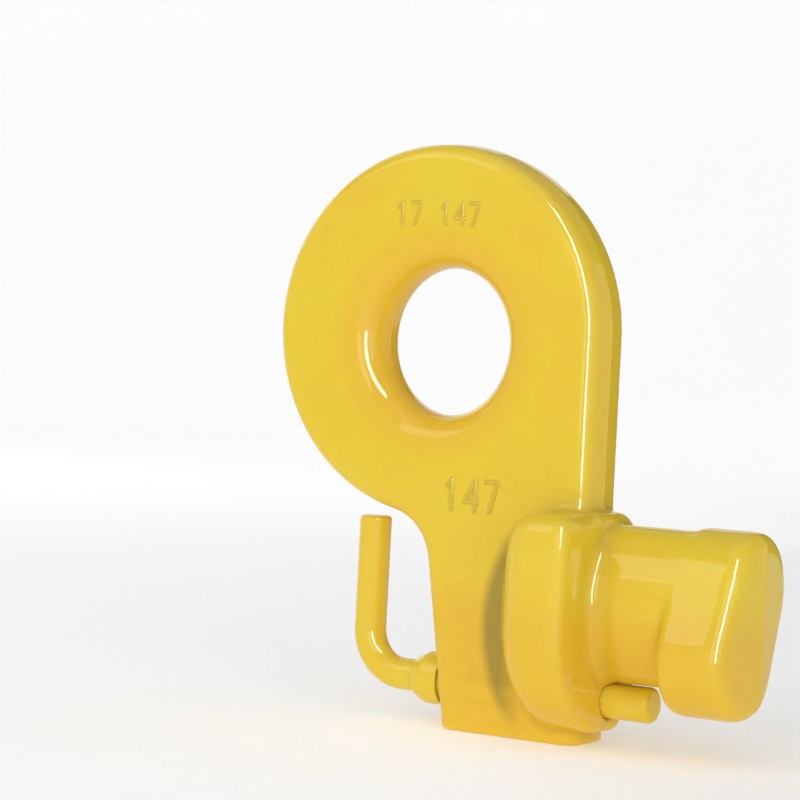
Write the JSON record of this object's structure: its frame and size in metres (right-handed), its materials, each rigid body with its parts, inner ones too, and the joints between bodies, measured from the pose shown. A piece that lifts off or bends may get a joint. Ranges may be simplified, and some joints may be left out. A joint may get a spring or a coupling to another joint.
{
  "type": "container side lifting hook",
  "caption": "Forged lug with a lifting eye, bearing collar and tilted hammer-head shank, and a sprung locking plunger drawn back by an L-shaped pull rod.",
  "frame": {"origin": "centre of the eye hole, on the forging's parting plane", "axes": "+X from the collar along the shank to the hammer head, +Y along the eye hole away from the viewer of the picture, +Z from the flat base up to the eye"},
  "size_m": [0.2055, 0.0765, 0.2165],
  "materials": {
    "forging_paint": "thick gloss yellow enamel over a forged skin",
    "gland_paint": "gloss yellow enamel",
    "rod_paint": "gloss yellow enamel",
    "plunger_paint": "gloss yellow enamel, rubbed along its sides",
    "washer_steel": "bright plated steel",
    "spring_steel": "drawn spring wire, lightly oiled",
    "dowel_steel": "ground steel"
  },
  "bodies": {
    "hook": {"hook_forging": "forging_paint", "guide_gland": "gland_paint", "spring_seat_washer": "washer_steel", "lock_spring": "spring_steel"},
    "thrust_ring": {"thrust_washer": "washer_steel"},
    "lock_bar": {"pull_rod": "rod_paint", "lock_plunger": "plunger_paint", "plunger_dowel": "dowel_steel"}
  },
  "joints": [
    {"name": "plunger_pull", "type": "slide", "parent": "hook", "child": "thrust_ring", "axis": [-1, 0, 0], "range_m": [0, 0.018], "stiffness_N_per_m": 2300, "springref_m": -0.008, "deforming": ["lock_spring"]},
    {"name": "rod_turn", "type": "hinge", "parent": "thrust_ring", "child": "lock_bar", "pos_m": [0, 0, -0.1258], "axis": [1, 0, 0], "continuous": true}
  ]
}
